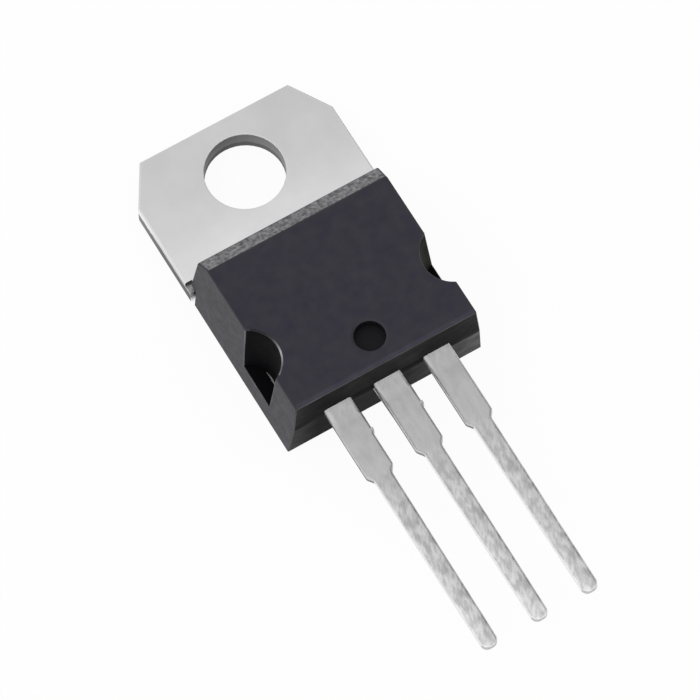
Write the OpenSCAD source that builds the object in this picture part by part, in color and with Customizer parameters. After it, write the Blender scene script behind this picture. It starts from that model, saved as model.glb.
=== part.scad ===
// Power MOSFET in a flange-mount package with three leads in a row.
//
// The package lies on its back. The mounting face is z = 0 and the origin is where
// the axis of the mounting hole meets it. +Y runs towards the top edge of the tab,
// the leads point along -Y, and +Z points away from the heat sink.
// A copper frame carries the silicon die; the moulded body is cast around them, so
// every pocket in the body is cut with the very piece that fills it.
// All sizes are in millimetres.

/* [Tab] */
// Width of the tab
tab_w = 10.2; // [9.8:0.1:10.6]
// Thickness of the tab
tab_t = 1.27; // [1.1:0.01:1.4]
// Diameter of the mounting hole
hole_d = 3.75; // [3.2:0.05:4]
// From the hole's axis to the top edge of the tab
hole_to_top = 2.83; // [2.5:0.01:3.2]
// Width of the cut at each top corner
corner_cut_x = 1.2; // [0.5:0.1:1.6]
// Height of the cut at each top corner
corner_cut_y = 2; // [0.5:0.1:2.4]

/* [Tie-bar stubs] */
// Length of the severed stub at each side of the tab, along Y
stub_len = 0.45; // [0.2:0.05:0.6]
// How far the stub reaches in from the edge of the tab
stub_in = 0.35; // [0.2:0.05:0.5]
// Step down from the face of the tab to the face of the stub
stub_step = 0.27; // [0.1:0.01:0.4]

/* [Die plate] */
// How far each edge of the plate stands in from the edge of the tab
plate_inset = 0.95; // [0.7:0.05:1.1]
// From the end of the plate to the face that the leads leave
plate_end_gap = 2.5; // [2.3:0.1:2.9]
// How far the body locks under each edge of the plate
lock_w = 0.25; // [0.1:0.05:0.4]
// Height of the lock under each edge
lock_h = 0.45; // [0.2:0.05:0.6]
// Width of the groove that stops the solder from running to the tab
groove_w = 0.4; // [0.2:0.05:0.5]
// Depth of the groove
groove_depth = 0.15; // [0.05:0.05:0.25]
// From the die's upper edge to the middle of the groove
groove_gap = 0.6; // [0.5:0.05:0.7]

/* [Body] */
// Height of the body above the mounting face
body_h = 4.5; // [4.3:0.1:4.8]
// From the hole's axis to the top wall of the body
hole_to_body = 3.6; // [3.3:0.1:3.9]
// Length of the body, from its top wall to the face that the leads leave
body_len = 9; // [8.7:0.05:9.4]
// How far the foot of each side of the body stands in from the edge of the tab
side_inset = 0.09; // [0.05:0.01:0.3]
// Draft of the two sides, in degrees
side_draft = 5.15; // [3:0.05:7]
// Draft of the top wall, in degrees
top_draft = 7.5; // [3:0.5:12]
// Draft of the lead face above the leads, in degrees
face_draft_top = 2; // [1:0.5:7]
// Draft of the lead face below the leads, in degrees
face_draft_foot = 4.5; // [1:0.5:7]
// Length of the sloped band at the top of the front face
slope_y = 0.87; // [0.4:0.01:1.2]
// Drop of the sloped band
slope_z = 0.7; // [0.3:0.1:1]

/* [Side notches] */
// Radius of each notch at its floor
notch_r = 1.2; // [0.9:0.1:1.4]
// How far the floor of each notch reaches in from the side
notch_in = 0.94; // [0.5:0.01:1]
// From the centre of the notches to the face that the leads leave
notch_to_exit = 3.15; // [2.8:0.05:3.4]
// Flare of the notch wall, in degrees
notch_flare = 5.5; // [2:0.5:8]

/* [Ejector mark] */
// Diameter of the round mark in the front face
mark_d = 1.45; // [1:0.05:1.8]
// Depth of the mark
mark_depth = 0.55; // [0.2:0.05:0.8]
// Width of the chamfer round the mouth of the mark
mark_chamfer = 0.1; // [0.05:0.05:0.2]
// From the centre of the mark to the face that the leads leave
mark_to_exit = 1.5; // [1.3:0.05:2]

/* [Leads] */
// Distance between lead centres
lead_pitch = 2.54; // [2.4:0.02:2.7]
// Thickness of the leads
lead_t = 0.5; // [0.4:0.05:0.6]
// Height of the underside of the leads above the mounting face
lead_z = 2.4; // [2.2:0.05:2.6]
// Length of the leads outside the body
lead_len = 13.15; // [12.7:0.05:14]
// Width of the leads next to the body
lead_wide_w = 1.36; // [1.1:0.02:1.6]
// Length of the wide stretch, up to the shoulder
lead_wide_len = 3.65; // [3.4:0.05:4]
// Length of the sloped shoulder
shoulder_len = 0.32; // [0.1:0.02:0.6]
// Width of the leads past the shoulder
lead_w = 0.88; // [0.7:0.02:0.9]
// Width of the leads at the tip
lead_tip_w = 0.78; // [0.6:0.02:0.8]
// Corner radius of the lead tips
tip_r = 0.32; // [0.1:0.02:0.38]

/* [Dam-bar stubs] */
// Length of the stub that the severed dam bar leaves on the side of a lead
dam_len = 1.1; // [0.6:0.1:1.4]
// How far the stub stands out from the side of the lead
dam_out = 0.05; // [0.02:0.01:0.2]
// From the face that the leads leave to the stubs
dam_gap = 0.8; // [0.5:0.05:1.1]

/* [Posts inside the body] */
// Width of the bonding posts of the gate and source leads
post_w = 2.1; // [1.7:0.1:2.3]
// Length of the bonding posts
post_len = 1.35; // [1.1:0.05:1.5]
// From the posts to the face that the leads leave
post_to_exit = 0.55; // [0.4:0.05:0.7]
// Diameter of the anchor hole through each post
anchor_d = 0.4; // [0.3:0.05:0.5]
// Width of the bent strap from the plate to the middle lead
strap_w = 1.5; // [1.3:0.1:1.7]
// Length of the sloped stretch of the strap, along Y
strap_run = 1; // [0.7:0.1:1.2]

/* [Die] */
// Width of the silicon die
die_w = 4.2; // [3.6:0.1:4.6]
// Length of the silicon die
die_len = 3.6; // [3.2:0.1:4]
// Thickness of the silicon die
die_t = 0.25; // [0.2:0.01:0.35]
// Thickness of the metal pads on the die
pad_t = 0.03; // [0.02:0.01:0.05]
// Margin between the edge of the die and its pads
pad_margin = 0.2; // [0.15:0.05:0.3]
// Side of the square gate pad
gate_pad = 0.9; // [0.8:0.05:1]
// From the lower edge of the die to the end of the plate
die_to_plate_end = 1; // [0.8:0.1:1.4]
// Thickness of the solder under the die
solder_t = 0.06; // [0.04:0.01:0.1]
// How far the solder shows round the die
solder_rim = 0.1; // [0.05:0.05:0.2]

/* [Bond wires] */
// Diameter of the gate wire
gate_wire_d = 0.15; // [0.12:0.01:0.2]
// Diameter of the source wires
source_wire_d = 0.38; // [0.3:0.02:0.42]
// Rise of each wire's arc over the straight line between its feet
wire_rise = 0.6; // [0.5:0.05:0.8]
// Distance between the two source wires
source_wire_gap = 0.95; // [0.85:0.05:1]

/* [Hidden] */
$fn = 96;
// overlap that lets cutters pass clean through a face
cut = 1;

tab_x = tab_w / 2;
plate_x = tab_x - plate_inset;
body_x = tab_x - side_inset;
body_top_y = -hole_to_body;
exit_y = body_top_y - body_len;
tip_y = exit_y - lead_len;
plate_end_y = exit_y + plate_end_gap;
lead_top = lead_z + lead_t;
// least width of the flat at the end of a lead
tip_flat = 0.04;
// a third of each stub lies clear of the body's top wall
stub_y = body_top_y + stub_len / 3;
stub_end_y = stub_y - stub_len;
// narrow slot left between each stub and the body
slot_w = 0.18;
notch_x = body_x - notch_in + notch_r;
notch_y = exit_y + notch_to_exit;
mark_y = exit_y + mark_to_exit;
// heights of the stack on the plate
solder_top = tab_t + solder_t;
die_top = solder_top + die_t;
pad_top = die_top + pad_t;
die_y = plate_end_y + die_to_plate_end + die_len / 2;
groove_y = die_y + die_len / 2 + groove_gap;
post_y = exit_y + post_to_exit + post_len / 2;
// gate pad in the corner of the die that lies nearest to the gate lead
gate_pad_x = -die_w / 2 + pad_margin + gate_pad / 2;
gate_pad_y = die_y - die_len / 2 + pad_margin + gate_pad / 2;
// clear strip between the gate pad and the source pad
pad_gap = 0.15;
source_pad_x0 = gate_pad_x + gate_pad / 2 + pad_gap;
source_pad_x1 = die_w / 2 - pad_margin;
source_foot_x = (source_pad_x0 + source_pad_x1) / 2;
// the wires land on the far part of the posts, clear of the anchor holes
wire_post_y = post_y + post_len / 5;
anchor_y = post_y - post_len / 4;

// ---- shared shapes ----

// Solid with the given outline in the Y-Z plane, centred on x = 0.
module across(width) {
    rotate([90, 0, 90]) linear_extrude(width, center = true) children();
}

// Same shape on the left and on the right.
module both_sides() {
    children();
    mirror([1, 0, 0]) children();
}

// Block from corner a to corner b.
module block(a, b) {
    translate(a) cube(b - a);
}

// Flat outline of one lead, centred on x = 0: wide stretch, shoulder, slightly
// tapered narrow stretch and a tip with round corners. It starts at y = start
// inside the body. A lead with a neighbour to its right keeps a stub of the dam
// bar on that side.
module lead_outline(start, stub) {
    wide_end = exit_y - lead_wide_len;
    narrow_top = wide_end - shoulder_len;
    x1 = lead_wide_w / 2;
    x2 = lead_w / 2;
    x3 = lead_tip_w / 2;
    // the corners always leave a flat at the end of the tip
    r = min(tip_r, x3 - tip_flat / 2);
    polygon([
        [-x1, start], [x1, start], [x1, wide_end], [x2, narrow_top],
        [x3, tip_y + r], [-x3, tip_y + r], [-x2, narrow_top], [-x1, wide_end]
    ]);
    for (side = [-1, 1])
        translate([side * (x3 - r), tip_y + r]) circle(r);
    translate([-x3 + r, tip_y]) square([2 * (x3 - r), r]);
    if (stub)
        translate([x1, exit_y - dam_gap]) polygon([
            [-dam_out, dam_out], [dam_out, -dam_out],
            [dam_out, -dam_len], [-dam_out, -dam_len]
        ]);
}

// Lead bar at its height, centred on x = 0.
module lead_bar(start, stub) {
    translate([0, 0, lead_z]) linear_extrude(lead_t) lead_outline(start, stub);
}

// Outer lead that widens to a bonding post inside the body.
module outer_lead(x, stub) {
    translate([x, 0, 0]) difference() {
        union() {
            lead_bar(post_y, stub);
            block([-post_w / 2, post_y - post_len / 2, lead_z],
                  [post_w / 2, post_y + post_len / 2, lead_top]);
        }
        translate([0, anchor_y, lead_z - cut]) cylinder(d = anchor_d, h = lead_t + 2 * cut);
    }
}

// Bond wire from one foot to the other: an arc in an upright plane, with a
// flattened foot under each end. from and to lie on the faces the feet sit on.
module bond_wire(from, to, d) {
    run = norm([to.x - from.x, to.y - from.y]);
    rise = to.z - from.z;
    chord = norm([run, rise]);
    arc_r = chord * chord / (8 * wire_rise) + wire_rise / 2;
    half = asin(chord / (2 * arc_r));
    heading = atan2(to.y - from.y, to.x - from.x);
    foot_w = 1.4 * d;
    translate(from + [0, 0, d / 2]) rotate([0, 0, heading]) rotate([90, -atan2(rise, run), 0])
        translate([chord / 2, wire_rise - arc_r, 0])
            rotate_extrude(angle = 2 * half, start = 90 - half, $fn = 48)
                translate([arc_r, 0]) circle(d = d, $fn = 24);
    for (end = [from, to])
        translate(end) rotate([0, 0, heading])
            translate([-d, -foot_w / 2, 0]) cube([2 * d, foot_w, d]);
}

// ---- one module per piece ----

// Exposed tab with its cut corners, its hole and the stubs of the severed tie bar.
module tab_plate() {
    difference() {
        linear_extrude(tab_t) polygon([
            [-tab_x, stub_end_y], [tab_x, stub_end_y],
            [tab_x, hole_to_top - corner_cut_y], [tab_x - corner_cut_x, hole_to_top],
            [-tab_x + corner_cut_x, hole_to_top], [-tab_x, hole_to_top - corner_cut_y]
        ]);
        translate([0, 0, -cut]) cylinder(d = hole_d, h = tab_t + 2 * cut);
        both_sides() block([tab_x - stub_in, stub_end_y - cut, tab_t - stub_step],
                           [tab_x + cut, stub_y, tab_t + cut]);
    }
}

// Plate inside the body, undercut along its edges so that the body grips it.
module die_plate() {
    difference() {
        union() {
            block([-plate_x, plate_end_y, lock_h], [plate_x, stub_end_y, tab_t]);
            block([-plate_x + lock_w, plate_end_y + lock_w, 0],
                  [plate_x - lock_w, stub_end_y, lock_h]);
        }
        across(tab_w) polygon([
            [groove_y - groove_w / 2, tab_t], [groove_y, tab_t - groove_depth],
            [groove_y + groove_w / 2, tab_t], [groove_y, tab_t + cut]
        ]);
    }
}

// Strap that climbs from the end of the plate to the height of the leads and runs on
// as the middle lead.
module drain_strap() {
    climb = lead_top - tab_t;
    start_y = plate_end_y - lead_t / 2;
    top_y = start_y - strap_run;
    // shift of the inner corners that keeps the sloped stretch as thick as the rest
    lean = lead_t * tan(atan2(climb, strap_run) / 2);
    across(strap_w) polygon([
        [plate_end_y, tab_t - lead_t], [plate_end_y, tab_t], [start_y, tab_t],
        [top_y, lead_top], [top_y - lean, lead_top], [top_y - lean, lead_z],
        [start_y - lean, tab_t - lead_t]
    ]);
    lead_bar(top_y, stub = true);
}

// Tab, die plate, strap and middle lead, stamped and bent from one strip of copper.
module drain_tab() {
    color("#c9c9c7") {
        tab_plate();
        die_plate();
        drain_strap();
    }
}

module gate_lead() {
    color("#c4c4c2") outer_lead(-lead_pitch, stub = true);
}

module source_lead() {
    color("#c4c4c2") outer_lead(lead_pitch, stub = false);
}

// Silicon die with its raised gate pad and source pad.
module mosfet_die() {
    color("#6d7580") {
        block([-die_w / 2, die_y - die_len / 2, solder_top],
              [die_w / 2, die_y + die_len / 2, die_top]);
        block([gate_pad_x - gate_pad / 2, gate_pad_y - gate_pad / 2, die_top],
              [gate_pad_x + gate_pad / 2, gate_pad_y + gate_pad / 2, pad_top]);
        block([source_pad_x0, die_y - die_len / 2 + pad_margin, die_top],
              [source_pad_x1, die_y + die_len / 2 - pad_margin, pad_top]);
    }
}

module die_solder() {
    color("#8f9296") block(
        [-die_w / 2 - solder_rim, die_y - die_len / 2 - solder_rim, tab_t],
        [die_w / 2 + solder_rim, die_y + die_len / 2 + solder_rim, solder_top]);
}

module gate_wire() {
    color("#dcdcda") bond_wire([gate_pad_x, gate_pad_y, pad_top],
                               [-lead_pitch, wire_post_y, lead_top], gate_wire_d);
}

// One of the two source wires; side is -1 for the inner one and 1 for the outer one.
module source_wire(side) {
    shift = side * source_wire_gap / 2;
    color("#dcdcda") bond_wire([source_foot_x + shift, die_y, pad_top],
                               [lead_pitch + shift, wire_post_y, lead_top], source_wire_d);
}

module source_wire_1() {
    source_wire(-1);
}

module source_wire_2() {
    source_wire(1);
}

// Moulded block with drafted walls, before its recesses are cut.
module body_block() {
    front_x = body_x - body_h * tan(side_draft);
    slope_top_y = body_top_y - (body_h - slope_z - tab_t) * tan(top_draft);
    intersection() {
        across(tab_w) polygon([
            [stub_end_y, 0], [stub_end_y, tab_t], [body_top_y, tab_t],
            [slope_top_y, body_h - slope_z], [slope_top_y - slope_y, body_h],
            [exit_y + (body_h - lead_top) * tan(face_draft_top), body_h],
            [exit_y, lead_top], [exit_y, lead_z],
            [exit_y + lead_z * tan(face_draft_foot), 0]
        ]);
        translate([0, body_top_y + cut, 0]) rotate([90, 0, 0])
            linear_extrude(body_len + 2 * cut) polygon([
                [-body_x, 0], [body_x, 0], [front_x, body_h], [-front_x, body_h]
            ]);
    }
}

// Flared notch in the side of the body; its floor lies in the plane of the plate.
module notch() {
    depth = body_h - tab_t;
    translate([notch_x, notch_y, tab_t])
        cylinder(r1 = notch_r, r2 = notch_r + depth * tan(notch_flare), h = depth);
}

// Round mark of the ejector pin, with a chamfered mouth.
module ejector_mark() {
    translate([0, mark_y, body_h - mark_depth]) cylinder(d = mark_d, h = mark_depth + cut);
    translate([0, mark_y, body_h - mark_chamfer])
        cylinder(d1 = mark_d, d2 = mark_d + 2 * mark_chamfer, h = mark_chamfer);
}

// Moulded epoxy body, cast around the frame, the die and the wires.
module mould_body() {
    color("#333237") difference() {
        body_block();
        both_sides() {
            notch();
            block([tab_x - stub_in, stub_end_y - slot_w, -cut],
                  [tab_x + cut, stub_end_y + cut, tab_t]);
        }
        ejector_mark();
        drain_tab();
        gate_lead();
        source_lead();
        mosfet_die();
        die_solder();
        gate_wire();
        source_wire_1();
        source_wire_2();
    }
}

mould_body();
drain_tab();
gate_lead();
source_lead();
mosfet_die();
die_solder();
gate_wire();
source_wire_1();
source_wire_2();
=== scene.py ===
"""Looks of a power MOSFET in a tab package, lying on its back on a pale table."""
import math

import bmesh
import bpy
from mathutils import Matrix, Vector


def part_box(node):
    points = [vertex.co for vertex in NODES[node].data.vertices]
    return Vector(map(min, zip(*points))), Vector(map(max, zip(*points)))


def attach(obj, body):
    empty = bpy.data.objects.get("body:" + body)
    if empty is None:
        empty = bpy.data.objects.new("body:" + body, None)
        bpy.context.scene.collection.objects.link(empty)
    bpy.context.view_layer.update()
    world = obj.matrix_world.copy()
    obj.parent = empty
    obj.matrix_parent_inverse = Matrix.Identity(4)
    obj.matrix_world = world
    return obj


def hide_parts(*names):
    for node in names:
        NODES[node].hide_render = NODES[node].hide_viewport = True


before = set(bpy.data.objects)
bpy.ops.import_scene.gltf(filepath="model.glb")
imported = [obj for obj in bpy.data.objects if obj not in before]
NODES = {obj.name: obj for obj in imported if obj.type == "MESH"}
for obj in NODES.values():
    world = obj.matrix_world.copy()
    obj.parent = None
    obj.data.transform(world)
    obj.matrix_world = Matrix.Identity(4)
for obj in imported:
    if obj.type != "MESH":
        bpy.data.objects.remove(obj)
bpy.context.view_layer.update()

MM = 0.001
SCENE = bpy.context.scene

# Camera: its angles are those of a view round the part, where azimuth 0 looks along +Y.
LOOK_AT = Vector((-0.404, -10.035, 1.27)) * MM
DISTANCE = 231.6 * MM
AZIMUTH = math.radians(-29.76)
ELEVATION = math.radians(66.13)
ROLL = math.radians(-0.855)
# Focal length and width of the sensor, in the camera's own millimetres
LENS = 267.4
SENSOR = 36

# Faces that meet at less than this angle are merged into one flat face.
FLAT = math.radians(0.5)
# Edges sharper than this stay sharp in the shading.
SHARP = math.radians(32)
# Edges that turn by less than this aren't rounded.
BEND = SHARP / 2
# Corners closer together than this, in metres, are one corner.
WELD = 1e-7
# A face closer than this to a plane, in metres, lies in it.
TOUCH = 1e-6


# ---- places on the part, from the frame ----

BODY_LOW, BODY_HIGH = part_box("mould_body")
# The leads leave the body at its lower end, and their undersides are all at one height.
EXIT = BODY_LOW.y
GATE_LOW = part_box("gate_lead")[0]
LEAD_TIP, LEAD_UNDER = GATE_LOW.y, GATE_LOW.z
PITCH = (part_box("source_lead")[0].x - GATE_LOW.x) / 2
# The tab and the middle lead are one strip, as wide as the tab and as high as the lead.
STRIP_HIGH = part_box("drain_tab")[1]
# The die is soldered to the same flat face that shows on the tab.
TAB_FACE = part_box("die_solder")[0].z


# ---- shader building blocks ----

BLACK = (0, 0, 0)
WHITE = (1, 1, 1)


def new_material(name, metallic=0.0, specular=0.5):
    """A material, its node tree and its shader, with the constants set on the shader."""
    material = bpy.data.materials.new(name)
    material.use_nodes = True
    tree = material.node_tree
    shader = tree.nodes["Principled BSDF"]
    shader.inputs["Metallic"].default_value = metallic
    shader.inputs["Specular IOR Level"].default_value = specular
    return material, tree, shader


def grain(tree, scale, detail=4.0, stretch=(1, 1, 1), turn=0.0):
    """Noise in the piece's own coordinates: scale counts features per millimetre, stretch
    packs them closer along each axis, and turn swings the pattern round the Z axis."""
    place = tree.nodes.new("ShaderNodeTexCoord")
    swing = tree.nodes.new("ShaderNodeVectorRotate")
    swing.rotation_type = "Z_AXIS"
    swing.inputs["Angle"].default_value = turn
    mapping = tree.nodes.new("ShaderNodeMapping")
    mapping.inputs["Scale"].default_value = [s / MM for s in stretch]
    noise = tree.nodes.new("ShaderNodeTexNoise")
    noise.inputs["Scale"].default_value = scale
    noise.inputs["Detail"].default_value = detail
    tree.links.new(place.outputs["Object"], swing.inputs["Vector"])
    tree.links.new(swing.outputs["Vector"], mapping.inputs["Vector"])
    tree.links.new(mapping.outputs["Vector"], noise.inputs["Vector"])
    return noise.outputs["Fac"]


def combine(tree, operation, a, b):
    """The two values, each a number or a socket, combined by the operation."""
    node = tree.nodes.new("ShaderNodeMath")
    node.operation = operation
    for socket, value in zip(node.inputs, (a, b)):
        if isinstance(value, (int, float)):
            socket.default_value = value
        else:
            tree.links.new(value, socket)
    return node.outputs[0]


def plus(tree, a, b):
    return combine(tree, "ADD", a, b)


def times(tree, a, b):
    return combine(tree, "MULTIPLY", a, b)


def spread(tree, value, low, high, low_at=0.3, high_at=0.7):
    """A number from low to high as the value goes from low_at to high_at."""
    node = tree.nodes.new("ShaderNodeMapRange")
    node.inputs["From Min"].default_value = low_at
    node.inputs["From Max"].default_value = high_at
    node.inputs["To Min"].default_value = low
    node.inputs["To Max"].default_value = high
    tree.links.new(value, node.inputs["Value"])
    return node.outputs["Result"]


def ramp(tree, value, low, high, low_at=0.3, high_at=0.7):
    """Colours from low to high as the value goes from low_at to high_at."""
    node = tree.nodes.new("ShaderNodeValToRGB")
    for element, color, at in zip(node.color_ramp.elements, (low, high), (low_at, high_at)):
        element.position = at
        element.color = (*color, 1)
    tree.links.new(value, node.inputs["Fac"])
    return node.outputs["Color"]


def follow(tree, place, stops, start=0.0, step=MM):
    """A number that follows the stops (steps past the start, value) as the place moves."""
    first, last = stops[0][0], stops[-1][0]
    share = spread(tree, place, 0, 1, start + first * step, start + last * step)
    node = tree.nodes.new("ShaderNodeValToRGB")
    while len(node.color_ramp.elements) < len(stops):
        node.color_ramp.elements.new(0.5)
    for element, (at, value) in zip(node.color_ramp.elements, stops):
        element.position = (at - first) / (last - first)
        element.color = (value, value, value, 1)
    tree.links.new(share, node.inputs["Fac"])
    return node.outputs["Color"]


def place_on(tree, axis):
    """The piece's own coordinate along an axis."""
    place = tree.nodes.new("ShaderNodeTexCoord")
    axes = tree.nodes.new("ShaderNodeSeparateXYZ")
    tree.links.new(place.outputs["Object"], axes.inputs["Vector"])
    return axes.outputs[axis]


def along(tree, axis, stops, start=0.0):
    """A number that follows the stops (millimetres past the start, value) along an axis."""
    return follow(tree, place_on(tree, axis), stops, start)


def down_leads(tree, stops):
    """A number that follows the stops, counted in millimetres from the body to the tips."""
    return follow(tree, place_on(tree, "Y"), stops, EXIT, -MM)


def across_leads(tree, stops):
    """A number that follows the stops, counted in millimetres from the axis of each lead."""
    from_axis = tree.nodes.new("ShaderNodeMath")
    from_axis.operation = "WRAP"
    from_axis.inputs[1].default_value = PITCH / 2
    from_axis.inputs[2].default_value = -PITCH / 2
    tree.links.new(place_on(tree, "X"), from_axis.inputs[0])
    return follow(tree, from_axis.outputs[0], stops)


def paint(tree, shader, color):
    tree.links.new(color, shader.inputs["Base Color"])


def paint_grey(tree, shader, value):
    """Paints the surface in the grey of that value, from black at 0 to white at 1."""
    paint(tree, shader, ramp(tree, value, BLACK, WHITE, 0, 1))


def vary_gloss(tree, shader, value, roughness, less, more, **reach):
    """Lets the roughness wander from less under its middle to more over it."""
    wander = spread(tree, value, roughness - less, roughness + more, **reach)
    tree.links.new(wander, shader.inputs["Roughness"])


def bump(tree, shader, height, depth):
    """Raises the surface by up to depth millimetres where the height is 1."""
    node = tree.nodes.new("ShaderNodeBump")
    node.inputs["Strength"].default_value = 1.0
    node.inputs["Distance"].default_value = depth * MM
    tree.links.new(height, node.inputs["Height"])
    tree.links.new(node.outputs["Normal"], shader.inputs["Normal"])


# ---- kinds of surface ----

def epoxy(name, dark, light, specular, roughness=0.5, patch=0.5, depth=0.003, stretch=(1, 1, 1),
          tones=None):
    """Moulding compound: blotches from dark to light, patch of them to a millimetre, and a
    fine grain of that depth. The tones scale the colour, counted up from the leads' exit."""
    material, tree, shader = new_material(name, specular=specular)
    color = ramp(tree, grain(tree, patch, detail=6, stretch=stretch), dark, light)
    if tones:
        scale = tree.nodes.new("ShaderNodeVectorMath")
        scale.operation = "SCALE"
        tree.links.new(color, scale.inputs[0])
        tree.links.new(along(tree, "Y", tones, EXIT), scale.inputs["Scale"])
        color = scale.outputs[0]
    paint(tree, shader, color)
    vary_gloss(tree, shader, grain(tree, 3), roughness, less=0.04, more=0.05)
    bump(tree, shader, grain(tree, 10, detail=3, stretch=stretch), depth)
    return material


def painted_light_epoxy(name, tones, mottle, axis="X", start=0.0, heights=None, roughness=0.6, specular=0.02):
    """Moulding compound painted a grey of light and shade that follows the tones along the axis,
    counted from the start. It is scaled by the heights along Z and uneven by a share of mottle."""
    material, tree, shader = new_material(name, specular=specular)
    shader.inputs["Roughness"].default_value = roughness
    mottling = spread(tree, grain(tree, 1, detail=6, stretch=(1.2, 1.2, 2.4)), 1 - mottle, 1 + mottle)
    value = times(tree, along(tree, axis, tones, start), mottling)
    if heights:
        value = times(tree, value, along(tree, "Z", heights))
    paint_grey(tree, shader, value)
    bump(tree, shader, grain(tree, 10, detail=3), depth=0.003)
    return material


def plating(name, dark, light, roughness):
    """Metal with a faintly cloudy tone and uneven gloss."""
    material, tree, shader = new_material(name, metallic=1.0)
    paint(tree, shader, ramp(tree, grain(tree, 0.35), dark, light))
    vary_gloss(tree, shader, grain(tree, 2), roughness, less=0.04, more=0.04)
    bump(tree, shader, grain(tree, 8, detail=3), depth=0.001)
    return material


def tinned(name, tones_y, tones_x, roughness):
    """Tin plating whose grey follows the tones along Y, scaled by those along X: tones of painted
    light.
    """
    material, tree, shader = new_material(name, metallic=1.0)
    tone = times(tree, along(tree, "Y", tones_y), along(tree, "X", tones_x))
    cloud = spread(tree, grain(tree, 0.6, detail=6), -0.025, 0.025)
    paint_grey(tree, shader, plus(tree, tone, cloud))
    vary_gloss(tree, shader, grain(tree, 2), roughness, less=0.03, more=0.03)
    bump(tree, shader, grain(tree, 8, detail=3), depth=0.0007)
    return material


# The tin on the leads ran off at this angle to them.
STREAK_TURN = math.radians(25)


def dipped(name, roughness):
    """Tin-dipped lead: painted light makes it brighter where it leaves the body, then even, then
    lighter towards the tip, which is more and more streaky, and a painted highlight runs along its
    left edge."""
    material, tree, shader = new_material(name)
    # the tone is painted light: bright by the body, lighter towards the tip
    tone = down_leads(tree, [(0, 1), (0.7, 0.74), (1.1, 0.6), (3.6, 0.61), (4.9, 0.62), (9.4, 0.655),
                             (12.4, 0.69), (13.1, 0.79)])
    # how much of the dipping shows: nothing on the wide stretch, all of it at the tip
    dip = down_leads(tree, [(3.6, 0), (4, 0.15), (7.4, 0.7), (11.4, 1)])
    streak = grain(tree, 1, stretch=(8, 2.4, 8), turn=STREAK_TURN)
    cloud = grain(tree, 1, detail=3, stretch=(3.5, 1.4, 3.5))
    mixed = times(tree, plus(tree, streak, cloud), 0.5)
    strength = spread(tree, dip, 0.06, 0.24, low_at=0, high_at=0.5)
    uneven = times(tree, spread(tree, mixed, -1, 1, low_at=0.41, high_at=0.59), strength)
    # a painted highlight along the left edge of each lead, where the dipping shows
    left_highlight = across_leads(tree, [(-0.42, 0.26), (-0.25, 0.2), (-0.05, 0.08), (0.1, 0)])
    change = plus(tree, uneven, times(tree, left_highlight, dip))
    paint_grey(tree, shader, times(tree, tone, plus(tree, change, 1)))
    vary_gloss(tree, shader, streak, roughness, less=0.05, more=0.08, low_at=0.4, high_at=0.6)
    # next to the body the tin is dull and mirrors little
    tree.links.new(down_leads(tree, [(0.2, 0.3), (1.2, 1)]), shader.inputs["Metallic"])
    relief = times(tree, streak, spread(tree, dip, 0.3, 1, low_at=0, high_at=0.5))
    bump(tree, shader, relief, depth=0.012)
    return material


# A punch tears the metal along its own path, so the marks are long along Z.
TORN_STRETCH = (1, 1, 0.2)


def punched(name, smooth, torn, low, high, under=0.0, axis="X", tones=None):
    """Sheared edge: torn and darker up to low, burnished from high on, both counted in
    millimetres up from under. The tones scale its grey along the axis."""
    material, tree, shader = new_material(name, metallic=1.0)
    height = along(tree, "Z", [(low, 0), (high, 1)], under)
    tears = spread(tree, grain(tree, 4, detail=3, stretch=TORN_STRETCH), -0.12, 0.12)
    ragged = plus(tree, height, tears)
    value = spread(tree, ragged, torn, smooth)
    if tones:
        value = times(tree, value, along(tree, axis, tones))
    paint_grey(tree, shader, value)
    # the torn part is the rougher one
    tree.links.new(spread(tree, ragged, 0.6, 0.45), shader.inputs["Roughness"])
    bump(tree, shader, grain(tree, 8, detail=3, stretch=TORN_STRETCH), depth=0.006)
    return material


# ---- finishes ----

def slot_of(material, finishes):
    """The number of the slot that a material has in a list of finishes."""
    return [finish for finish, _ in finishes].index(material)


# The front is a little lighter along its lower edge, a painted highlight.
EPOXY_FRONT = epoxy(
    "epoxy_front", (0.02, 0.0187, 0.0322), (0.029, 0.0277, 0.0377), specular=0.3, patch=1.6,
    tones=[(0.06, 1.6), (0.2, 1.5), (0.3, 1)])
# The sloped band is rough, and its light grey is painted light, the light the band catches.
EPOXY_SLOPE = epoxy(
    "epoxy_slope", (0.03, 0.029, 0.031), (0.26, 0.255, 0.27), specular=0.7, roughness=0.6, patch=6,
    depth=0.006, stretch=(1, 0.7, 0.7))
# The sides are painted with light and shade along their length: darker in the middle, lighter towards
# both ends.
EPOXY_SIDE = epoxy(
    "epoxy_side", (0.01, 0.0095, 0.02), (0.03, 0.029, 0.04), specular=0.28, patch=1.2, depth=0.0006,
    tones=[(0.1, 0.95), (1.6, 0.78), (5.1, 0.72), (6.6, 0.8), (8.6, 1)])

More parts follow.
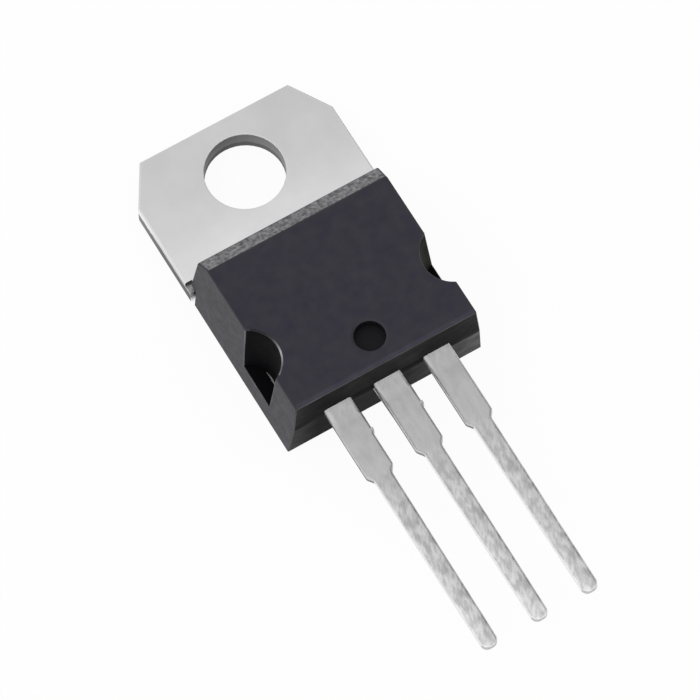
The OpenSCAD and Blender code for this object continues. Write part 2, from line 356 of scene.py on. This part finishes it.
# The end that the leads leave is painted with light and shade above, between and below them: lighter
# towards its corners, the right one most, and darkest in the upright strip between the leads.
EPOXY_END_ABOVE = painted_light_epoxy(
    "epoxy_end_above",
    [(-5, 0.035), (-4.6, 0.03), (-4.2, 0.02), (-3.5, 0.0135), (-1.7, 0.02), (1.3, 0.024), (3.4, 0.017),
     (4.3, 0.027), (5, 0.03)],
    mottle=0.3, heights=[(2.9, 0.75), (3.4, 0.9), (4.5, 1.2)])
EPOXY_END_SEAM = painted_light_epoxy(
    "epoxy_end_seam",
    [(-5, 0.014), (-4.2, 0.012), (-3.5, 0.009), (-1.5, 0.003), (1.7, 0.003), (3.4, 0.008), (4.3, 0.02),
     (5, 0.02)],
    mottle=0.3)
EPOXY_END_BELOW = painted_light_epoxy(
    "epoxy_end_below",
    [(-5, 0.06), (-4.6, 0.052), (-4.2, 0.034), (-3.5, 0.009), (-1, 0.02), (1.1, 0.02), (1.5, 0.035),
     (3.7, 0.08), (4.3, 0.11), (5, 0.125)],
    mottle=0.35, heights=[(0, 0.9), (0.8, 1.15), (1.5, 0.85), (2.1, 1.1), (2.4, 1)])

# The notches and pockets are painted near black, painted shade in their hollows; the right notch's
# wall is a little lighter.
EPOXY_RECESS_SHADE = epoxy(
    "epoxy_recess_shade", (0.0025, 0.0025, 0.003), (0.004, 0.004, 0.005), specular=0.05, roughness=0.7)
EPOXY_NOTCH_WALL_SHADE = epoxy(
    "epoxy_notch_wall_shade", (0.007, 0.0072, 0.0058), (0.02, 0.0203, 0.0172), specular=0.05, roughness=0.7,
    patch=2)
EPOXY_MARK = epoxy(
    "epoxy_mark", (0.011, 0.0108, 0.014), (0.014, 0.0138, 0.018), specular=0.1, roughness=0.6)
# The sloped rim of the ejector mark is lighter than the front, a painted highlight.
EPOXY_MARK_RIM_HIGHLIGHT = epoxy(
    "epoxy_mark_rim_highlight", (0.034, 0.033, 0.04), (0.05, 0.049, 0.056), specular=0.3, roughness=0.6)

# Rounded edges of the body: most of them, then the lower edge of its front, the rim of the
# left notch and the upright edges of the notches, all three with painted highlights
EPOXY_EDGE = epoxy("epoxy_edge", (0.022, 0.021, 0.028), (0.032, 0.031, 0.038), specular=0.35)
EPOXY_LIP_HIGHLIGHT = painted_light_epoxy(
    "epoxy_lip_highlight",
    [(-5, 0.04), (-4.2, 0.05), (-3.7, 0.075), (-3, 0.055), (-1.7, 0.045), (1.7, 0.043), (3.7, 0.036),
     (5, 0.025)],
    mottle=0.15, roughness=0.5, specular=0.3)
EPOXY_RIM_HIGHLIGHT = painted_light_epoxy(
    "epoxy_rim_highlight",
    [(1.6, 0.2), (1.85, 0.14), (2.1, 0.09), (2.4, 0.2), (2.77, 0.36), (3.15, 0.16), (3.55, 0.04),
     (3.9, 0.014), (4.4, 0.006)],
    mottle=0.2, axis="Y", start=EXIT, roughness=0.5, specular=0.3)
EPOXY_CORNER_HIGHLIGHT = epoxy("epoxy_corner_highlight", (0.05, 0.049, 0.056), (0.12, 0.118, 0.126), specular=0.4, patch=2)

# A finish is a material and the sides that wear it. Those with no side go to the faces of
# rounded edges, once they are there.
BODY_FINISH = [
    (EPOXY_FRONT, ["front", "back"]),
    (EPOXY_SLOPE, ["slope"]),
    (EPOXY_SIDE, ["side", "wall"]),
    (EPOXY_END_ABOVE, ["end_above"]),
    (EPOXY_END_SEAM, ["end_seam"]),
    (EPOXY_END_BELOW, ["end_below"]),
    (EPOXY_RECESS_SHADE, ["notch", "inner"]),
    (EPOXY_NOTCH_WALL_SHADE, ["notch_wall"]),
    (EPOXY_MARK, ["mark"]),
    (EPOXY_MARK_RIM_HIGHLIGHT, ["mark_rim"]),
    (EPOXY_EDGE, []),
    (EPOXY_LIP_HIGHLIGHT, []),
    (EPOXY_RIM_HIGHLIGHT, []),
    (EPOXY_CORNER_HIGHLIGHT, []),
]

# The plating's tones are painted light: lighter next to the body and towards the left.
SHADED_PLATING = tinned(
    "plating", tones_y=[(-3.6, 0.9), (-2.4, 0.86), (-1.2, 0.785), (0.2, 0.75), (2.8, 0.73)],
    tones_x=[(-5, 1.02), (1, 1), (5, 0.955)], roughness=0.34)
# The tab's walls grow lighter towards the tab's far end, by painted light.
SHEARED_TAB = punched(
    "sheared_tab", smooth=0.74, torn=0.16, low=0.68, high=1.02, axis="Y",
    tones=[(-3.5, 0.85), (-1, 1), (0.8, 1.7)])
# The wall of the hole is painted shade: dark in the hole and lighter towards the right.
SHADED_BORE = punched(
    "shaded_bore", smooth=0.11, torn=0.075, low=0.3, high=0.7, tones=[(-1.9, 0.5), (0, 1), (1.9, 2)])
SHEARED_LEAD = punched("sheared_lead", smooth=0.6, torn=0.25, low=0.1, high=0.35, under=LEAD_UNDER)
DIPPED_WALL = punched("dipped_wall", smooth=0.9, torn=0.8, low=0.02, high=0.15, under=LEAD_UNDER)
TIN_DIP = dipped("tin_dip", roughness=0.4)
CUT_TIP = plating("cut_tip", (0.5, 0.5, 0.5), (0.64, 0.64, 0.64), roughness=0.45)
# The stubs of the tie bars are painted shade: their face a darker grey than the tab's, the step in
# front of it darker still.
SHADED_STUB_FACE = plating("shaded_stub_face", (0.4, 0.4, 0.4), (0.5, 0.5, 0.5), roughness=0.4)
SHADED_STUB_STEP = plating("stub_step", (0.12, 0.12, 0.12), (0.18, 0.18, 0.18), roughness=0.5)
# The rounding round the tab's face is a painted highlight, near white.
ROLLED_EDGE_HIGHLIGHT = plating("rolled_edge_highlight", (0.86, 0.86, 0.86), (0.9, 0.9, 0.9), roughness=0.34)

METAL_FINISH = [
    (SHADED_PLATING, ["front", "back", "inner"]),
    (SHEARED_TAB, ["wall"]),
    (SHADED_BORE, ["bore"]),
    (TIN_DIP, ["lead", "lead_back"]),
    (SHEARED_LEAD, ["lead_wall"]),
    (DIPPED_WALL, ["narrow_wall"]),
    (CUT_TIP, ["tip"]),
    (SHADED_STUB_FACE, ["stub"]),
    (SHADED_STUB_STEP, ["stub_step"]),
    (ROLLED_EDGE_HIGHLIGHT, []),
]

# Hidden pieces
SILICON = epoxy("silicon", (0.13, 0.15, 0.18), (0.17, 0.2, 0.24), specular=0.6, roughness=0.3)
SOLDER = plating("solder", (0.24, 0.25, 0.27), (0.33, 0.34, 0.36), roughness=0.55)
WIRE = plating("wire", (0.68, 0.68, 0.66), (0.78, 0.78, 0.76), roughness=0.35)


# ---- building a piece ----

def merged_copy(node, name):
    """A new object with a CAD node's own form, its flat faces merged."""
    bm = bmesh.new()
    bm.from_mesh(NODES[node].data)
    bmesh.ops.remove_doubles(bm, verts=bm.verts, dist=WELD)
    bmesh.ops.dissolve_limit(bm, angle_limit=FLAT, verts=bm.verts, edges=bm.edges)
    mesh = bpy.data.meshes.new(name)
    bm.to_mesh(mesh)
    bm.free()
    # the old shading doesn't fit the form once its edges are rounded
    for attribute in [a for a in mesh.attributes if a.name == "custom_normal"]:
        mesh.attributes.remove(attribute)
    mesh.materials.clear()
    obj = bpy.data.objects.new(name, mesh)
    SCENE.collection.objects.link(obj)
    return obj


def set_slots(obj, kind_of, finishes):
    """Gives the piece each finish in turn, and each face the one its kind is listed under."""
    for material, _ in finishes:
        obj.data.materials.append(material)
    place = {kind: slot for slot, (_, kinds) in enumerate(finishes) for kind in kinds}
    bm = bmesh.new()
    bm.from_mesh(obj.data)
    for face in bm.faces:
        face.material_index = place[kind_of(face)]
    bm.to_mesh(obj.data)
    bm.free()


def pairs(table):
    """The rounding table with its keys as unordered pairs, in metres."""
    return {frozenset(key): radius * MM for key, radius in table.items()}


def round_edges(obj, kind_of, radii, segments=3, slot=-1):
    """Rounds each edge by the radius given for the kinds of the two faces that meet there.
    The new faces take the slot, or those of their neighbours at -1."""
    largest = max(radii.values())
    bm = bmesh.new()
    bm.from_mesh(obj.data)
    kinds = {face: kind_of(face) for face in bm.faces}
    weight = bm.edges.layers.float.new("bevel_weight_edge")
    for edge in bm.edges:
        if len(edge.link_faces) != 2 or edge.calc_face_angle() < BEND:
            continue
        pair = frozenset(kinds[face] for face in edge.link_faces)
        edge[weight] = radii.get(pair, 0) / largest
    bm.to_mesh(obj.data)
    bm.free()
    bevel = obj.modifiers.new("round", "BEVEL")
    bevel.limit_method = "WEIGHT"
    bevel.offset_type = "OFFSET"
    bevel.width = largest
    bevel.segments = segments
    bevel.use_clamp_overlap = False
    bevel.miter_outer = "MITER_ARC"
    bevel.material = slot


def apply_modifiers(obj):
    """Turns the shown form into the object's own mesh."""
    graph = bpy.context.evaluated_depsgraph_get()
    mesh = bpy.data.meshes.new_from_object(obj.evaluated_get(graph))
    obj.modifiers.clear()
    obj.data = mesh


def finish_form(obj):
    """Applies the rounding, then shades curves smooth and keeps large faces flat."""
    apply_modifiers(obj)
    obj.data.shade_smooth()
    obj.data.set_sharp_from_angle(angle=SHARP)
    normals = obj.modifiers.new("flat_faces", "WEIGHTED_NORMAL")
    normals.mode = "FACE_AREA"
    normals.weight = 100
    normals.keep_sharp = True
    apply_modifiers(obj)


def dress(obj, material):
    """Gives the whole object one material."""
    obj.data.materials.clear()
    obj.data.materials.append(material)


# A normal with this share along an axis points straight along it, or nearly so, or is
# turned that way. With less than the last share it points across the axis.
STRAIGHT = 0.99
NEARLY = 0.95
TURNED = 0.2
ACROSS = 0.05


def slants(share):
    """Whether a normal with this share along an axis points neither along nor across it."""
    return 0.3 < share < 0.9


# ---- moulded body ----

BODY_EDGE = slot_of(EPOXY_EDGE, BODY_FINISH)
BODY_LIP_HIGHLIGHT = slot_of(EPOXY_LIP_HIGHLIGHT, BODY_FINISH)
BODY_RIM_HIGHLIGHT = slot_of(EPOXY_RIM_HIGHLIGHT, BODY_FINISH)
BODY_CORNER_HIGHLIGHT = slot_of(EPOXY_CORNER_HIGHLIGHT, BODY_FINISH)

# Radius of the edge between two sides of the body, in millimetres
BODY_ROUNDING = pairs({
    ("front", "side"): 0.05,
    ("front", "end_above"): 0.1,
    ("front", "slope"): 0.06,
    ("front", "notch"): 0.07,
    ("front", "notch_wall"): 0.07,
    ("side", "end_above"): 0.05,
    ("side", "end_seam"): 0.05,
    ("side", "end_below"): 0.05,
    ("side", "slope"): 0.1,
    ("side", "wall"): 0.1,
    ("side", "notch"): 0.04,
    ("side", "notch_wall"): 0.04,
    ("slope", "wall"): 0.08,
})

# The drafted end and top wall lean by no more than this over their height.
LEAN = 0.3 * MM
WALL_LEAN = 0.5 * MM
# The sides lie at least SIDE_OUT from the middle and the notches NOTCH_OUT, between
# NOTCH_FROM and NOTCH_TO along the body. The floor of a notch is level with the tab's face.
SIDE_OUT = 4.3 * MM
NOTCH_OUT = 3.3 * MM
NOTCH_FLOOR = TAB_FACE - TOUCH
NOTCH_FROM = EXIT + 0.5 * MM
NOTCH_TO = BODY_HIGH.y - 3 * MM
# The painted highlight on the rim of the left notch lies past RIM_FROM and over RIM_FLOOR.
RIM_FROM = BODY_LOW.x + 0.55 * MM
RIM_FLOOR = BODY_HIGH.z - 0.2 * MM
# The ejector mark lies within MARK_OUT from the middle and over MARK_FLOOR.
MARK_OUT = 0.9 * MM
MARK_FLOOR = BODY_HIGH.z - 0.7 * MM
# The sloped band and the sides are larger than these; most faces of the pockets inside the
# body are smaller.
SLOPE_AREA = 1 * MM * MM
SIDE_AREA = 2 * MM * MM


def end_face(normal):
    """Names the part of the end that the leads leave: it leans back above them and below
    them, and stands upright between them."""
    if normal.z > 0.01:
        return "end_above"
    if normal.z < -0.01:
        return "end_below"
    return "end_seam"


def body_face(face):
    """Names the side of the moulded body that a face belongs to."""
    normal = face.normal
    centre = face.calc_center_median()
    area = face.calc_area()
    out = abs(centre.x)
    if normal.z > STRAIGHT and centre.z > BODY_HIGH.z - TOUCH:
        return "front"
    if normal.z < -STRAIGHT and centre.z < TOUCH:
        return "back"
    if slants(normal.y) and slants(normal.z) and area > SLOPE_AREA:
        return "slope"
    if normal.y < -STRAIGHT and centre.y < EXIT + LEAN:
        return end_face(normal)
    if normal.y > NEARLY and centre.z > STRIP_HIGH.z / 2 and centre.y > BODY_HIGH.y - WALL_LEAN:
        return "wall"
    if abs(normal.x) > STRAIGHT and area > SIDE_AREA and out > SIDE_OUT:
        return "side"
    if out > NOTCH_OUT and centre.z > NOTCH_FLOOR and normal.z > ACROSS:
        return "notch_wall" if centre.x > 0 and normal.z < NEARLY else "notch"
    if out < MARK_OUT and centre.z > MARK_FLOOR:
        return "mark_rim" if slants(normal.z) else "mark"
    return "inner"


def edge_slot(face):
    """The slot of a face on the body's rounded edges: the lower edge of the front, the
    upright edges of the notches and the rim of the left notch have their own, with painted highlights."""
    normal, place = face.normal, face.center
    by_notch = NOTCH_FROM < place.y < NOTCH_TO
    if abs(normal.x) < 0.3 and normal.y < -TURNED and not by_notch:
        return BODY_LIP_HIGHLIGHT
    if by_notch and place.z < RIM_FLOOR:
        return BODY_CORNER_HIGHLIGHT
    if by_notch and RIM_FROM < place.x < 0 and normal.z > 0.15:
        return BODY_RIM_HIGHLIGHT
    return BODY_EDGE


def make_body():
    """The moulded body with rounded edges and a finish on each side."""
    body = merged_copy("mould_body", "epoxy_body")
    set_slots(body, body_face, BODY_FINISH)
    round_edges(body, body_face, BODY_ROUNDING, segments=4, slot=BODY_EDGE)
    finish_form(body)
    for face in body.data.polygons:
        if face.material_index == BODY_EDGE:
            face.material_index = edge_slot(face)
    return body


# ---- stamped metal ----

LEAD_FACE = slot_of(TIN_DIP, METAL_FINISH)
TAB_EDGE_HIGHLIGHT = slot_of(ROLLED_EDGE_HIGHLIGHT, METAL_FINISH)

# Radius of the rolled edge round the face of the tab, and of the dipped edge of a lead
TAB_ROLL = 0.1
LEAD_ROLL = 0.16
# Radius of the edge between two sides of the metal, in millimetres
METAL_ROUNDING = pairs({
    ("front", "wall"): TAB_ROLL,
    ("front", "bore"): 0.04,
    ("back", "wall"): 0.15,
    ("back", "bore"): 0.15,
    ("wall", "wall"): 0.04,
    ("lead", "lead_wall"): LEAD_ROLL,
    ("lead", "narrow_wall"): LEAD_ROLL,
    ("lead", "tip"): LEAD_ROLL,
    ("lead_back", "lead_wall"): 0.06,
    ("lead_back", "narrow_wall"): 0.06,
    ("lead_back", "tip"): 0.06,
    ("lead_wall", "lead_wall"): 0.08,
    ("lead_wall", "narrow_wall"): 0.08,
})

# A face counts as lead up to this far into the body, which takes in the bonding posts.
LEAD_INTO_BODY = 2 * MM
# The walls of the wide stretch have their centres before this, those of the narrow one past it.
NARROW_FROM = EXIT - 4.5 * MM
# The faces of a rounded tip have their centres within TIP_LENGTH of its end, and those of
# the tab's hole lie within BORE_RADIUS of its axis.
TIP_LENGTH = 0.3 * MM
BORE_RADIUS = 2.2 * MM
# The stubs of the severed tie bars lie further out than STUB_OUT, up to STUB_TO along the
# tab, and have their faces under STUB_UNDER.
STUB_OUT = STRIP_HIGH.x - 0.5 * MM
STUB_UNDER = TAB_FACE - 0.1 * MM
STUB_TO = BODY_HIGH.y + 0.3 * MM


def metal_face(face):
    """Names the side of a stamped metal piece that a face belongs to."""
    normal = face.normal
    centre = face.calc_center_median()
    is_lead = centre.y < EXIT + LEAD_INTO_BODY
    if not is_lead and abs(centre.x) > STUB_OUT and centre.y < STUB_TO:
        if centre.z < STUB_UNDER and normal.z > NEARLY:
            return "stub"
        if centre.z > TAB_FACE / 2 and normal.y < -NEARLY:
            return "stub_step"
    if normal.z > NEARLY:
        return "lead" if is_lead else "front"
    if normal.z < -NEARLY:
        return "lead_back" if is_lead else "back"
    if abs(normal.z) < ACROSS and is_lead:
        if normal.y < -TURNED and centre.y < LEAD_TIP + TIP_LENGTH:
            return "tip"
        return "lead_wall" if centre.y > NARROW_FROM else "narrow_wall"
    if abs(normal.z) < ACROSS and centre.y > BODY_HIGH.y:
        return "bore" if math.hypot(centre.x, centre.y) < BORE_RADIUS else "wall"
    return "inner"


def make_metal(node, name):
    """A piece of stamped metal with rounded edges and a finish on each side. The rounding of
    a lead's face is dipped as the face is, and that of the tab's face wears a painted highlight."""
    piece = merged_copy(node, name)
    set_slots(piece, metal_face, METAL_FINISH)
    round_edges(piece, metal_face, METAL_ROUNDING)
    finish_form(piece)
    for face in piece.data.polygons:
        # only the rounding of an upper edge, between its wall and the flat above
        if not 0.1 < face.normal.z < 0.98:
            continue
        if face.center.y < EXIT:
            face.material_index = LEAD_FACE
        elif face.center.y > BODY_HIGH.y and face.center.z > TAB_FACE - 1.1 * TAB_ROLL * MM:
            face.material_index = TAB_EDGE_HIGHLIGHT
    return piece


# ---- studio ----

# The floor lies this far under the part, so that their faces don't fight.
FLOOR_DROP = 0.02 * MM
# Half the side of the floor, in metres
FLOOR_HALF = 2.0


def make_camera():
    """A camera that looks down on the part from beyond the tips of its leads."""
    camera = bpy.data.cameras.new("camera")
    camera.lens = LENS
    camera.sensor_width = SENSOR
    camera.clip_start = 0.01
    camera.clip_end = 10
    obj = bpy.data.objects.new("camera", camera)
    back = Vector((math.sin(AZIMUTH) * math.cos(ELEVATION),
                   -math.cos(AZIMUTH) * math.cos(ELEVATION), math.sin(ELEVATION)))
    obj.location = LOOK_AT + back * DISTANCE
    obj.rotation_mode = "QUATERNION"
    level = (-back).to_track_quat("-Z", "Y")
    obj.rotation_quaternion = level @ Matrix.Rotation(ROLL, 3, "Z").to_quaternion()
    SCENE.collection.objects.link(obj)
    SCENE.camera = obj


def white_for_view(tree, strength):
    """A factor that is strength for camera, glossy and transmission rays, and 0 for the rest."""
    path = tree.nodes.new("ShaderNodeLightPath")
    seen = path.outputs["Is Camera Ray"]
    for ray in ("Is Glossy Ray", "Is Transmission Ray"):
        seen = combine(tree, "MAXIMUM", seen, path.outputs[ray])
    return times(tree, seen, strength)


def add_quad(name, corners):
    """A flat face with four corners."""
    mesh = bpy.data.meshes.new(name)
    mesh.from_pydata(corners, [], [(0, 1, 2, 3)])
    obj = bpy.data.objects.new(name, mesh)
    SCENE.collection.objects.link(obj)
    return obj


def make_floor():
    """A pale floor that holds the part's shadow and looks white round it."""
    half = FLOOR_HALF
    floor = add_quad("floor", [(-half, -half, 0), (half, -half, 0), (half, half, 0), (-half, half, 0)])
    floor.location.z = -FLOOR_DROP
    material, tree, shader = new_material("floor", specular=0.0)
    shader.inputs["Base Color"].default_value = (0.9, 0.9, 0.9, 1)
    shader.inputs["Roughness"].default_value = 1.0
    glow = tree.nodes.new("ShaderNodeEmission")
    mix = tree.nodes.new("ShaderNodeMixShader")
    tree.links.new(white_for_view(tree, 0.94), mix.inputs["Fac"])
    tree.links.new(shader.outputs["BSDF"], mix.inputs[1])
    tree.links.new(glow.outputs["Emission"], mix.inputs[2])
    tree.links.new(mix.outputs["Shader"], tree.nodes["Material Output"].inputs["Surface"])
    dress(floor, material)


def make_world():
    """Soft and even light from all round."""
    world = bpy.data.worlds.new("studio")
    SCENE.world = world
    world.use_nodes = True
    sky = world.node_tree.nodes["Background"]
    sky.inputs["Color"].default_value = (*WHITE, 1)
    sky.inputs["Strength"].default_value = 0.8


def add_lamp(name, direction, distance, size, radiance):
    """A square soft box that faces the part, as bright as a surface of that radiance, and
    doesn't show in reflections."""
    lamp = bpy.data.lights.new(name, "AREA")
    lamp.shape = "SQUARE"
    lamp.size = size
    lamp.energy = radiance * math.pi * size * size
    obj = bpy.data.objects.new(name, lamp)
    away = Vector(direction).normalized()
    obj.location = LOOK_AT + away * distance
    obj.rotation_mode = "QUATERNION"
    obj.rotation_quaternion = away.to_track_quat("Z", "Y")
    obj.visible_glossy = False
    SCENE.collection.objects.link(obj)


def add_card(name, direction, distance, width, height, tone):
    """An upright grey card that faces the part and shows only in its reflections."""
    half = width / 2
    card = add_quad(name, [(-half, 0, 0), (half, 0, 0), (half, 0, height), (-half, 0, height)])
    away = Vector(direction).normalized()
    card.location = away * distance
    card.rotation_euler.z = math.atan2(away.y, away.x) - math.pi / 2
    material = bpy.data.materials.new(name)
    material.use_nodes = True
    tree = material.node_tree
    glow = tree.nodes.new("ShaderNodeEmission")
    glow.inputs["Color"].default_value = (tone, tone, tone, 1)
    tree.links.new(glow.outputs["Emission"], tree.nodes["Material Output"].inputs["Surface"])
    dress(card, material)
    card.visible_camera = card.visible_diffuse = card.visible_shadow = False


# ---- the scene ----

make_camera()
make_floor()
make_world()
add_lamp("left_above", direction=(-0.5, 0.1, 0.85), distance=0.4, size=0.35, radiance=1.0)
add_card("right_card", direction=(1, 0.2, 0.03), distance=0.2, width=0.4, height=0.2, tone=0.35)
add_card("far_card", direction=(0.1, 1, 0.03), distance=0.2, width=0.3, height=0.12, tone=0.45)

body = make_body()
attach(body, "root")
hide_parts("mould_body")

for node, name in (("drain_tab", "tab_and_middle_lead"), ("gate_lead", "left_lead"),
                   ("source_lead", "right_lead")):
    piece = make_metal(node, name)
    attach(piece, "root")
    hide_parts(node)

dress(NODES["mosfet_die"], SILICON)
dress(NODES["die_solder"], SOLDER)
for node in ("gate_wire", "source_wire_1", "source_wire_2"):
    dress(NODES[node], WIRE)

SCENE.view_settings.view_transform = "Standard"
